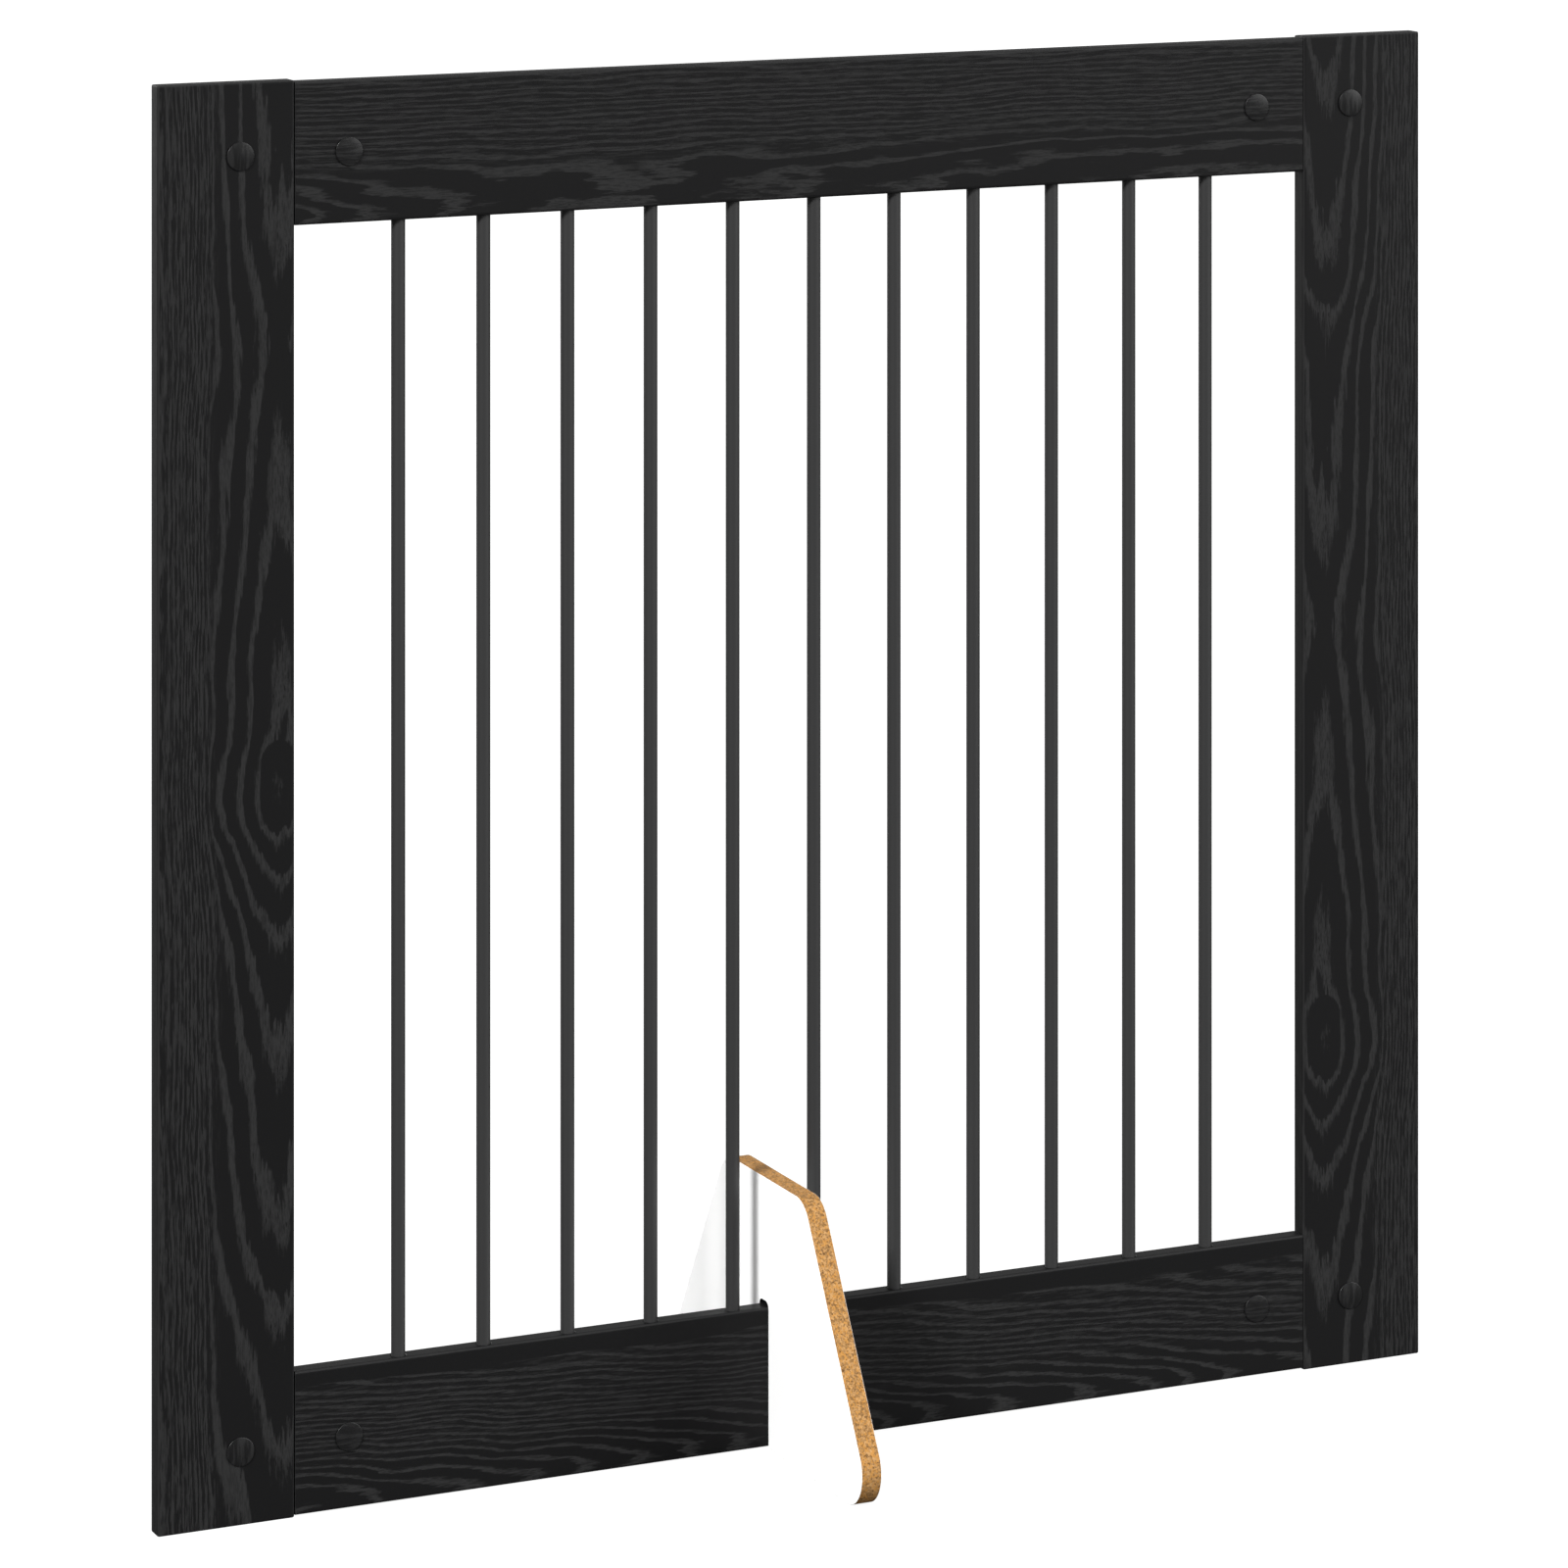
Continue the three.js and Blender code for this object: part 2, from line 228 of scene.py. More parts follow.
class Finish:
    """A material under way: each call adds a node and returns its output."""

    def __init__(self, name):
        self.material = bpy.data.materials.new(name)
        self.material.use_nodes = True
        self.tree = self.material.node_tree
        self.shader = self.tree.nodes["Principled BSDF"]

    def node(self, kind, inputs=(), **settings):
        node = self.tree.nodes.new(kind)
        for key, value in settings.items():
            setattr(node, key, value)
        for key, value in dict(inputs).items():
            self.set(node.inputs[key], value)
        return node

    def set(self, socket, value):
        if isinstance(value, bpy.types.NodeSocket):
            self.tree.links.new(value, socket)
        else:
            socket.default_value = value

    def math(self, operation, *values):
        return self.node("ShaderNodeMath", enumerate(values), operation=operation).outputs[0]

    def vector(self, operation, *values):
        return self.node("ShaderNodeVectorMath", enumerate(values), operation=operation).outputs[0]

    def place_mm(self):
        """The point's place on the object, in millimetres."""
        place = self.node("ShaderNodeTexCoord").outputs["Object"]
        return self.vector("MULTIPLY", place, (1 / MM, 1 / MM, 1 / MM))

    def parts(self, vector):
        node = self.node("ShaderNodeSeparateXYZ", {0: vector})
        return node.outputs[0], node.outputs[1], node.outputs[2]

    def combined(self, x, y, z):
        return self.node("ShaderNodeCombineXYZ", {0: x, 1: y, 2: z}).outputs[0]

    def noise(self, place, lengths, detail=2.0, roughness=0.5):
        """Smooth noise about 0.5, whose bumps are as long as lengths says along each axis."""
        scaled = self.vector("MULTIPLY", place, tuple(1 / length for length in lengths))
        inputs = {"Vector": scaled, "Scale": 1.0, "Detail": detail, "Roughness": roughness}
        return self.node("ShaderNodeTexNoise", inputs).outputs["Fac"]

    def around_zero(self, noise, reach):
        """Noise about 0.5 as a value about 0 that goes up to about reach each way."""
        return self.math("MULTIPLY_ADD", noise, 2 * reach, -reach)

    def step(self, value, low, high):
        """0 below low, 1 above high, smooth between."""
        inputs = {"Value": value, "From Min": low, "From Max": high}
        return self.node("ShaderNodeMapRange", inputs, interpolation_type="SMOOTHSTEP").outputs[0]

    def step_linear(self, value, low, high):
        """0 at low, 1 at high, straight between."""
        inputs = {"Value": value, "From Min": low, "From Max": high}
        return self.node("ShaderNodeMapRange", inputs).outputs[0]

    def step_down(self, value, middle, softness):
        """1 below middle, 0 above it, over softness each way; middle may vary over the surface."""
        low = self.math("SUBTRACT", middle, softness)
        high = self.math("ADD", middle, softness)
        return self.math("SUBTRACT", 1.0, self.step(value, low, high))

    def curve(self, value, points, top):
        """A smooth curve through given points (value, result), which lie between 0 and top."""
        first, last = points[0][0], points[-1][0]
        node = self.node("ShaderNodeFloatCurve", {"Value": self.step_linear(value, first, last)})
        knots = node.mapping.curves[0].points
        for place, result in points[1:-1]:
            knots.new((place - first) / (last - first), result / top)
        knots[0].location = (0, points[0][1] / top)
        knots[-1].location = (1, points[-1][1] / top)
        node.mapping.update()
        return self.math("MULTIPLY", node.outputs[0], top)

    def scaled(self, value, low, high):
        """The value times (high - low), plus low; low may vary over the surface."""
        if isinstance(low, bpy.types.NodeSocket):
            return self.math("MULTIPLY_ADD", value, self.math("SUBTRACT", high, low), low)
        return self.math("MULTIPLY_ADD", value, high - low, low)

    def mixed(self, share, first, second):
        node = self.node("ShaderNodeMix", data_type="RGBA")
        self.set(node.inputs[0], share)
        self.set(node.inputs[6], first)
        self.set(node.inputs[7], second)
        return node.outputs[2]

    def bump(self, height, distance_mm, strength=1.0):
        inputs = {"Height": height, "Distance": distance_mm * MM, "Strength": strength}
        self.set(self.shader.inputs["Normal"], self.node("ShaderNodeBump", inputs).outputs[0])

    def surface(self, **values):
        names = {
            "colour": "Base Color",
            "roughness": "Roughness",
            "metallic": "Metallic",
            "specular": "Specular IOR Level",
        }
        for key, value in values.items():
            self.set(self.shader.inputs[names[key]], value)
        return self.material


# Black stain between the light lines and on them; painted shade on the narrow sides and a painted
# highlight on the eased edges
STAIN_DARK = (0.0038, 0.0038, 0.0040, 1)
STAIN_LIGHT = (0.0168, 0.0168, 0.0170, 1)
# painted shade: the colour of the narrow sides and tops
PAINTED_SIDE_SHADE = (0.0020, 0.0020, 0.0021, 1)
# painted highlight: the colour of the eased long edges
PAINTED_EDGE_HIGHLIGHT = (0.0150, 0.0150, 0.0152, 1)
PAINTED_LIGHT_SHARE = 0.8            # how far the painted shade and the painted highlight hide the figure

# Particle board
CHIP_BROWN = (0.155, 0.078, 0.024, 1)
CHIP_PALE = (0.43, 0.240, 0.092, 1)
CHIP_ORANGE = (0.40, 0.185, 0.038, 1)
CHIP_MEAN = (0.33, 0.180, 0.065, 1)
CHIP_PIT = (0.07, 0.03, 0.009, 1)
CHIP_MM = (1.1, 1.3, 1.3)

# Figure of the wood: how long its unevenness is across the board, into it and along it, in mm
SWAY_MM = (60, 60, 130)
WAVE_MM = (9, 9, 60)
FIBRE_MM = (1.3, 1.3, 15)
HAIR_MM = (0.7, 0.7, 5.5)
THREAD_MM = (0.8, 0.8, 12)
CALM_MM = (14, 14, 110)
FIBRE_ROUGHNESS = 0.6
CALM_SWAY_MM = 5             # how far the edges of a calm band swing
CALM_SOFTNESS_MM = 1.2
CROWDING_MM = (-2, 6)        # where crowding sets in and is full, from where the narrow rings begin

LINE_SHARE = 0.36            # the light line's share of a ring, by the heart line
CROWDED_LINE_SHARE = 0.44    # and where the rings are narrow
CRISP = (0.02, 0.1)          # the light line's inner side, in shares of a ring
RAGGED = 0.06                # its outer side fades over this share each way
FRAY = (0.26, 0.6)           # how ragged it is on the arms of the arches and at their tips
CROWDED_FRAY = 0.16          # more than that where the rings are narrow
TIP_DIM = 0.35               # how light the breaks in a line stay at the tips
BREAKS = (0.36, 0.56)        # the noise below which a line breaks, and above which it is whole
THREADS = (0.5, 0.62)        # the noise from which a thread shows, and where it is full
GAPS = (0.5, 0.36)           # and the same for the gaps between threads, downwards
THREAD_LIGHT = 0.8
GAP_DARK = 0.8
LEAN = 0.7                   # how much deeper the pith gets for each mm into the board
FRONT_MM = -6                # the front face's place in Y
DEEPEST_MM = 160.0           # more than any depth below

# How far the pith lies behind the face along a board: (place along the board, depth), both in mm.
# Where the depth changes, each ring crosses the face as an arch that points to the deep end.
STILE_DEPTHS_MM = (
    (-60, 73), (20, 67.3), (105, 60.8), (158, 54.3), (249, 47.8), (313, 41.3), (349, 34.8), (375, 28.3),
    (402, 22.4), (424, 23.6), (435, 26.4), (478, 28.2), (508, 30.5), (548, 33), (600, 34.6),
    (640, 37.5), (672, 37.5), (695, 34.8), (832, 28.3), (870, 21.8), (960, 15.3), (1010, 11),
)
TOP_RAIL_DEPTHS_MM = (
    (-330, 4), (-308, 8.6), (-275, 14.9), (-225, 21.2), (-130, 26), (-60, 22), (-20, 20),
    (40, 14.9), (125, 10), (220, 8), (330, 7),
)
BOTTOM_RAIL_DEPTHS_MM = (
    (-330, 9), (-285, 11), (-262, 15), (-222, 17), (-195, 21), (-170, 23), (-120, 30), (0, 45),
    (70, 56), (200, 68), (255, 76), (330, 83),
)


class Figure(NamedTuple):
    """Where the growth rings lie in one board, in millimetres."""
    heart: float         # the heart line's place across the board
    side: int            # -1 where the wide part of the board lies towards the lower places
    depths: tuple        # how far the pith lies behind the face
    ring: float          # how far apart the rings are
    bend: float          # how round the tips of the arches are
    beside: tuple        # where the narrow rings beside the heart begin and end, and how many
    fade: float          # how far from the heart line the arches reach
    sway: float          # how far the rings swing from side to side
    wave: float          # how unevenly they lie, in rings
    dim: float           # how light the breaks in the lines stay, 0 to 1
    seed: float
    threads: float = 1   # how much the narrow rings break up into threads, 0 to 1
    calm: tuple = ()     # a wide dark band: its distance from the heart line and half its width
    shift: float = 0     # added to the place along the board before the depth is read
    across: int = 0      # 0 for X, 2 for Z
    along: int = 2


def ring_number(wood, figure, grain, distance, depth):
    """Which growth ring a point is in, and how near it is to the tip of an arch. At distance d from
    the heart line, with the pith D deep, the ring is
        (D / (1 + (d / fade)^2) + sqrt(d^2 + bend^2) - bend) / ring
    plus the narrow rings beside the heart, and the nearness to a tip is bend^2 / (d^2 + bend^2)."""
    far = wood.math("DIVIDE", distance, figure.fade)
    fade = wood.math("DIVIDE", 1.0, wood.math("MULTIPLY_ADD", far, far, 1.0))
    squared = wood.math("MULTIPLY_ADD", distance, distance, figure.bend ** 2)
    bow = wood.math("SUBTRACT", wood.math("SQRT", squared), figure.bend)
    reach = wood.math("MULTIPLY_ADD", depth, fade, bow)
    tip = wood.math("DIVIDE", figure.bend ** 2, squared)

    begin, end, count = figure.beside
    narrow = wood.step(wood.math("ABSOLUTE", distance), begin, end)
    rings = wood.math("MULTIPLY_ADD", narrow, count, wood.math("DIVIDE", reach, figure.ring))
    return wood.math("ADD", rings, wood.around_zero(wood.noise(grain, WAVE_MM), figure.wave)), tip


def ring_lines(wood, figure, grain, rings, tip, crowded):
    """How light the wood is, 0 to 1: each ring is a light line, crisp on its inner side and ragged on
    its outer one, then a wide dark one. Where the rings are crowded, threads and gaps break them."""
    fibre = wood.noise(grain, FIBRE_MM, roughness=FIBRE_ROUGHNESS)
    hair = wood.noise(grain, HAIR_MM, roughness=FIBRE_ROUGHNESS)
    thread = wood.noise(grain, THREAD_MM, roughness=FIBRE_ROUGHNESS)
    fray = wood.math("MULTIPLY_ADD", crowded, CROWDED_FRAY, wood.scaled(tip, *FRAY))
    phase = wood.math("FRACT", rings)
    inner = wood.math("MULTIPLY_ADD", wood.math("SUBTRACT", fibre, 0.5), fray, phase)
    outer = wood.math("MULTIPLY_ADD", wood.math("SUBTRACT", hair, 0.5), fray, inner)
    width = wood.scaled(crowded, LINE_SHARE, CROWDED_LINE_SHARE)
    line = wood.math("MULTIPLY", wood.step(inner, *CRISP), wood.step_down(outer, width, RAGGED))
    breaks = wood.scaled(wood.step(hair, *BREAKS), wood.scaled(tip, figure.dim, TIP_DIM), 1.0)
    torn = wood.math("MULTIPLY", crowded, figure.threads)
    threads = wood.math("MULTIPLY", wood.step(thread, *THREADS), torn)
    gaps = wood.math("MULTIPLY", wood.step(thread, *GAPS), torn)
    shade = wood.math("MULTIPLY", line, breaks)
    shade = wood.math("MULTIPLY", shade, wood.math("MULTIPLY_ADD", gaps, -GAP_DARK, 1.0))
    return wood.math("MAXIMUM", shade, wood.math("MULTIPLY", threads, THREAD_LIGHT))


def stain_with_painted_light(wood, shade):
    """The colour: the stain by the figure on the broad faces, with painted shade that darkens the
    narrow sides nearly to black and a painted highlight that lightens the eased long edges."""
    normal = wood.parts(wood.node("ShaderNodeNewGeometry").outputs["Normal"])
    square_on = wood.math("ABSOLUTE", normal[1])
    # painted shade: faces far from square to the front, the narrow sides and tops, are darkened nearly
    # to black
    side_shade_mask = wood.step_down(square_on, 0.3, 0.2)
    # painted highlight: the eased long edges, between the broad faces and the narrow sides, are made
    # lighter
    eased = wood.math("MULTIPLY", wood.step_down(square_on, 0.93, 0.05), wood.step(square_on, 0.2, 0.5))
    colour = wood.mixed(shade, STAIN_DARK, STAIN_LIGHT)
    colour = wood.mixed(wood.math("MULTIPLY", side_shade_mask, PAINTED_LIGHT_SHARE), colour, PAINTED_SIDE_SHADE)
    return wood.mixed(wood.math("MULTIPLY", eased, PAINTED_LIGHT_SHARE), colour, PAINTED_EDGE_HIGHLIGHT)


def stained_wood(name, figure):
    """Black stain on a flat-sawn board. The growth rings lie about the pith, whose depth behind the
    face changes along the board, so the face shows nested arches over the heart line, wide lines
    beside them and narrow broken ones further off."""
    wood = Finish(name)
    axes = wood.parts(wood.place_mm())
    offset = wood.math("MULTIPLY_ADD", axes[figure.across], figure.side, -figure.side * figure.heart)
    length = wood.math("ADD", axes[figure.along], figure.shift)
    grain = wood.combined(wood.math("ADD", offset, figure.seed), axes[1], length)
    swing = wood.around_zero(wood.noise(grain, SWAY_MM), figure.sway)
    distance = wood.math("ADD", offset, swing)
    depth = wood.curve(length, figure.depths, DEEPEST_MM)
    depth = wood.math("MULTIPLY_ADD", wood.math("SUBTRACT", axes[1], FRONT_MM), LEAN, depth)

    apart = wood.math("ABSOLUTE", distance)
    crowded = wood.step(apart, *(figure.beside[0] + reach for reach in CROWDING_MM))
    rings, tip = ring_number(wood, figure, grain, distance, depth)
    shade = ring_lines(wood, figure, grain, rings, tip, crowded)
    if figure.calm:
        middle, half_width = figure.calm
        off_middle = wood.math("ABSOLUTE", wood.math("SUBTRACT", apart, middle))
        swing = wood.around_zero(wood.noise(grain, CALM_MM, detail=1), CALM_SWAY_MM)
        off_middle = wood.math("ADD", off_middle, swing)
        outside = wood.step(off_middle, half_width, half_width + CALM_SOFTNESS_MM)
        shade = wood.math("MULTIPLY", shade, outside)

    wood.bump(shade, 0.06, 0.4)
    return wood.surface(
        colour=stain_with_painted_light(wood, shade),
        roughness=wood.scaled(shade, 0.5, 0.62),
        specular=0.12,
    )


def powder_coat(name):
    """Dark grey powder coat: a fine even orange peel."""
    paint = Finish(name)
    place = paint.place_mm()
    peel = paint.noise(place, (0.45, 0.45, 0.45), 2)
    drift = paint.noise(place, (9, 9, 60), 2)
    paint.bump(peel, 0.02, 0.4)
    return paint.surface(
        colour=paint.mixed(drift, (0.0175, 0.0175, 0.0177, 1), (0.0195, 0.0195, 0.0197, 1)),
        roughness=paint.scaled(peel, 0.5, 0.62),
        specular=0.3,
    )


def cover_finish(name, along):
    """A stained cover with a lacquered sheen; its grain runs as its board's does."""
    cover = Finish(name)
    lengths = (14, 1.3, 1.3) if along == 0 else (1.3, 1.3, 14)
    streaks = cover.step(cover.noise(cover.place_mm(), lengths, 2), 0.4, 0.65)
    cover.bump(streaks, 0.015, 0.3)
    return cover.surface(
        colour=cover.mixed(streaks, (0.0050, 0.0050, 0.0052, 1), (0.0105, 0.0105, 0.0107, 1)),
        roughness=cover.scaled(streaks, 0.3, 0.4),
        specular=0.25,
    )


def white_laminate(name):
    """White laminate with a faint pearl texture."""
    face = Finish(name)
    place = face.place_mm()
    pearl = face.noise(place, (0.9, 0.9, 0.9), 3)
    cloud = face.noise(place, (40, 40, 40), 2)
    face.bump(pearl, 0.015, 0.3)
    return face.surface(
        colour=face.mixed(cloud, (0.9, 0.9, 0.895, 1), (0.92, 0.92, 0.915, 1)),
        roughness=face.scaled(pearl, 0.42, 0.5),
        specular=0.4,
    )


def chip_board(name):
    """The sawn edge of a particle board: brown chips, some orange, some pale, with dark pits between
    them. Inside the notch for the rail it is coloured near-black, as painted shade of the hollow round
    the rail."""
    edge = Finish(name)
    place = edge.place_mm()
    _, from_rail, up = edge.parts(place)
    scaled = edge.vector("MULTIPLY", place, tuple(1 / length for length in CHIP_MM))
    chips = edge.node("ShaderNodeTexVoronoi", {"Vector": scaled, "Scale": 1.0}, feature="F1")
    tone, tint, depth = edge.parts(chips.outputs["Color"])
    cloud = edge.noise(place, (7, 7, 7), 2)
    speck = edge.noise(place, (1.1, 1.1, 1.1), 2, 0.6)
    base = edge.mixed(tone, CHIP_BROWN, CHIP_PALE)
    base = edge.mixed(edge.math("MULTIPLY", edge.step(tint, 0.64, 0.72), 0.8), base, CHIP_ORANGE)
    base = edge.mixed(edge.math("MULTIPLY", cloud, 0.3), base, CHIP_MEAN)
    pits = edge.math("SUBTRACT", 1.0, edge.step(speck, 0.34, 0.46))
    base = edge.mixed(edge.math("MULTIPLY", pits, 0.75), base, CHIP_PIT)
    # painted shade: the notch's inner faces get the dark stain colour for the shadow in the hollow round
    # the rail
    from_rail = edge.math("ABSOLUTE", from_rail)
    notch = edge.math("LESS_THAN", from_rail, (NOTCH_WIDTH / 2 + LAMINATE_EASE) / MM)
    painted_notch_shade = edge.math("MULTIPLY", notch, edge.math("LESS_THAN", up, NOTCH_REACH / MM))
    base = edge.mixed(painted_notch_shade, base, STAIN_DARK)
    edge.bump(edge.math("SUBTRACT", edge.math("MULTIPLY", depth, 0.5), pits), 0.15, 0.7)
    return edge.surface(colour=base, roughness=edge.scaled(speck, 0.7, 0.9), specular=0.15)


def cast_zinc(name):
    """Die-cast zinc with a faintly mottled skin."""
    zinc = Finish(name)
    mottle = zinc.noise(zinc.place_mm(), (1.2, 1.2, 1.2), 3)
    zinc.bump(mottle, 0.03, 0.4)
    colour = zinc.mixed(mottle, (0.34, 0.35, 0.36, 1), (0.5, 0.51, 0.52, 1))
    return zinc.surface(colour=colour, roughness=zinc.scaled(mottle, 0.32, 0.5), metallic=1.0)


def plated_steel(name):
    """Zinc-plated steel with fine rings from turning."""
    steel = Finish(name)
    place = steel.place_mm()
    rings = steel.noise(place, (0.25, 30, 30), 2)
    tint = steel.noise(place, (12, 6, 6), 2)
    steel.bump(rings, 0.02, 0.4)
    colour = steel.mixed(tint, (0.5, 0.49, 0.44, 1), (0.62, 0.6, 0.52, 1))
    return steel.surface(colour=colour, roughness=steel.scaled(rings, 0.25, 0.4), metallic=1.0)


def beech_dowel(name):
    """Plain beech along X with short dark flecks."""
    beech = Finish(name)
    place = beech.place_mm()
    grain = beech.noise(place, (16, 0.8, 0.8), 3)
    flecks = beech.step(beech.noise(place, (1.8, 0.25, 0.25), 1), 0.66, 0.74)
    colour = beech.mixed(grain, (0.5, 0.31, 0.15, 1), (0.7, 0.5, 0.3, 1))
    colour = beech.mixed(beech.math("MULTIPLY", flecks, 0.5), colour, (0.28, 0.14, 0.06, 1))
    beech.bump(grain, 0.05, 0.4)
    return beech.surface(colour=colour, roughness=beech.scaled(grain, 0.6, 0.75))


# ---------------------------------------------------------------- pieces

def centre_and_half(node):
    low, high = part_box(node)
    return (low + high) / 2, (high - low) / 2


def round_cutter(axis, radius, start, end, where, flare=0.0):
    """A round cutter along an axis, from start to end. With a flare, the hole widens to its mouth at
    end, and the cutter goes a millimetre further."""
    profile = [(radius, start), (radius, end)]
    if flare:
        outwards = math.copysign(1, end - start)
        wide = radius + flare
        profile = [(radius, start), (radius, end - outwards * flare)]
        profile += [(wide, end), (wide, end + outwards * MM)]
    profile.sort(key=lambda point: point[1])
    points, faces = turned_points(profile, HOLE_SIDES)
    return turned_to(points, axis) + np.array(where), faces


def board(node, axis, end_radius):
    """A board that fills its solid's box, with every edge rounded."""
    centre, half = centre_and_half(node)
    length, half_width = (2 * half.z, half.x) if axis == "z" else (2 * half.x, half.z)
    points, faces = board_points(length, half_width, half.y, end_radius)
    if axis == "x":
        points = points[:, [2, 1, 0]]
        faces = [loop[::-1] for loop in faces]
    return mesh_object(node + "_board", points + np.array(centre), faces)


def corner_cutters(name, corners, kind, inward):
    """The pockets, bolt bores and dowel bores of the corner fittings in one board."""
    pockets, bores = [], []
    for corner in corners:
        cam_centre, cam_half = centre_and_half(f"cam_{corner}_{kind}")
        cam_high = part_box(f"cam_{corner}_{kind}")[1]
        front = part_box("stile_left")[0].y - MM
        where = (cam_centre.x, 0, cam_centre.z)
        radius = cam_half.x + CAM_PLAY
        pockets.append(round_cutter("y", radius, front, cam_high.y + CAM_PLAY, where))
        bolt_centre, bolt_half = centre_and_half("bolt_" + corner)
        where = (0, bolt_centre.y, bolt_centre.z)
        bores.append(round_cutter("x", bolt_half.y + BOLT_PLAY, bolt_centre.x, cam_centre.x, where))
        for place in ("upper", "lower"):
            centre, half = centre_and_half(f"dowel_{corner}_{place}")
            end = centre.x + inward[corner] * (half.x + MM)
            where = (0, centre.y, centre.z)
            pockets.append(round_cutter("x", half.y + DOWEL_PLAY, centre.x, end, where))
    pocket_points, pocket_faces = joined(pockets)
    bore_points, bore_faces = joined(bores)
    return [
        mesh_object(name + "_pockets", pocket_points, pocket_faces, smooth=False),
        mesh_object(name + "_bores", bore_points, bore_faces, smooth=False),
    ]


def rod_hole_cutter(name, rods, mouth_z, end_pick):
    """Blind holes for the rod ends in one rail, each with a slightly flared mouth."""
    holes = []
    for rod in rods:
        centre, half = centre_and_half(rod)
        end = centre.z + end_pick * (half.z + MM)
        radius = half.x + ROD_HOLE_PLAY
        where = (centre.x, centre.y, 0)
        holes.append(round_cutter("z", radius, end, mouth_z, where, ROD_HOLE_FLARE))
    points, faces = joined(holes)
    return mesh_object(name + "_rod_holes", points, faces, smooth=False)


def make_stiles(materials):
    for side, word in ((-1, "left"), (1, "right")):
        node = "stile_" + word
        corners = ["top_" + word, "bottom_" + word]
        inward = {corner: side for corner in corners}
        piece = board(node, "z", END_RADIUS)
        carve(piece, *corner_cutters(node, corners, "stile", inward))
        finish_piece(piece, GATE_BODY, materials[node], "stained_wood", node)


def make_rails(materials, rods):
    for word, rod_side in (("top", -1), ("bottom", 1)):
        node = "rail_" + word
        corners = [word + "_left", word + "_right"]
        inward = {word + "_left": 1, word + "_right": -1}
        low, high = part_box(node)
        mouth_z = high.z if rod_side > 0 else low.z
        piece = board(node, "x", BUTT_RADIUS)
        cutters = corner_cutters(node, corners, "rail", inward)
        cutters.append(rod_hole_cutter(node, rods, mouth_z, -rod_side))
        carve(piece, *cutters)
        finish_piece(piece, GATE_BODY, materials[node], "stained_wood", node)


def make_rods(rods, material):
    for rod in rods:
        centre, half = centre_and_half(rod)
        radius, end = half.x, half.z
        profile = [
            (radius - ROD_CHAMFER, -end),
            (radius, ROD_CHAMFER - end),
            (radius, end - ROD_CHAMFER),
            (radius - ROD_CHAMFER, end),
        ]
        points, faces = turned_points(profile, ROD_SIDES)
        piece = mesh_object(rod + "_bar", points + np.array(centre), faces)
        finish_piece(piece, GATE_BODY, material, "rod_paint", rod)


def cover_profile(radius, plug_length):
    """From the plug's end to the crown's top: a straight plug, a flat underside, a rim whose upper
    edge is a quarter circle, and a crown whose height falls by rise * share^2 from its middle."""
    turn = np.linspace(0, math.pi / 2, COVER_RIM_STEPS + 1)
    shoulder = radius - COVER_RIM_RADIUS
    arc = COVER_RIM_RADIUS * np.stack([np.cos(turn), np.sin(turn)], -1)
    rim = arc + [shoulder, COVER_RIM]
    rise = COVER_CROWN - COVER_RIM - COVER_RIM_RADIUS
    share = np.linspace(*CROWN_SHARES, CROWN_POINTS)
    crown = np.stack([shoulder * share, COVER_CROWN - rise * share ** 2], -1)
    plug = [
        (PLUG_RADIUS - PLUG_EASE, -plug_length),
        (PLUG_RADIUS, PLUG_EASE - plug_length),
        (PLUG_RADIUS, 0),
        (radius - COVER_EASE, 0),
        (radius, COVER_EASE),
    ]
    return np.concatenate([plug, rim, crown])


def make_covers(corners, materials):
    for corner in corners:
        for kind in ("stile", "rail"):
            node = f"cover_{corner}_{kind}"
            low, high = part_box(node)
            centre, half = centre_and_half(node)
            plug_length = high.y - low.y - COVER_CROWN
            profile = cover_profile(half.x, plug_length)
            points, faces = turned_points(profile, COVER_SIDES)
            points = turned_to(points, "y") * [1, -1, 1]
            points += [centre.x, low.y + COVER_CROWN, centre.z]
            piece = mesh_object(node + "_cap", points, [loop[::-1] for loop in faces])
            finish_piece(piece, GATE_BODY, materials[kind], "cover_plastic", node)


def rounded_corners(corners):
    """A closed outline through the corners (y, z, radius, steps), in order: where the radius isn't 0
    the corner becomes an arc that touches both of its sides."""
    outline = []
    for index, (y, z, radius, steps) in enumerate(corners):
        at = np.array([y, z])
        if not radius:
            outline.append(at[None, :])
            continue
        before = np.array(corners[index - 1][:2]) - at
        after = np.array(corners[(index + 1) % len(corners)][:2]) - at
        before /= np.linalg.norm(before)
        after /= np.linalg.norm(after)
        half_angle = math.acos(float(before @ after)) / 2
        middle = (before + after) / np.linalg.norm(before + after)
        centre = at + middle * radius / math.sin(half_angle)
        start = at + before * radius / math.tan(half_angle) - centre
        sweep = math.pi - 2 * half_angle
        turning = math.copysign(1, before[1] * after[0] - before[0] * after[1])
        turn = turning * np.linspace(0, sweep, steps + 1)
        across = np.array([-start[1], start[0]])
        outline.append(centre + np.cos(turn)[:, None] * start + np.sin(turn)[:, None] * across)
    return np.concatenate(outline)


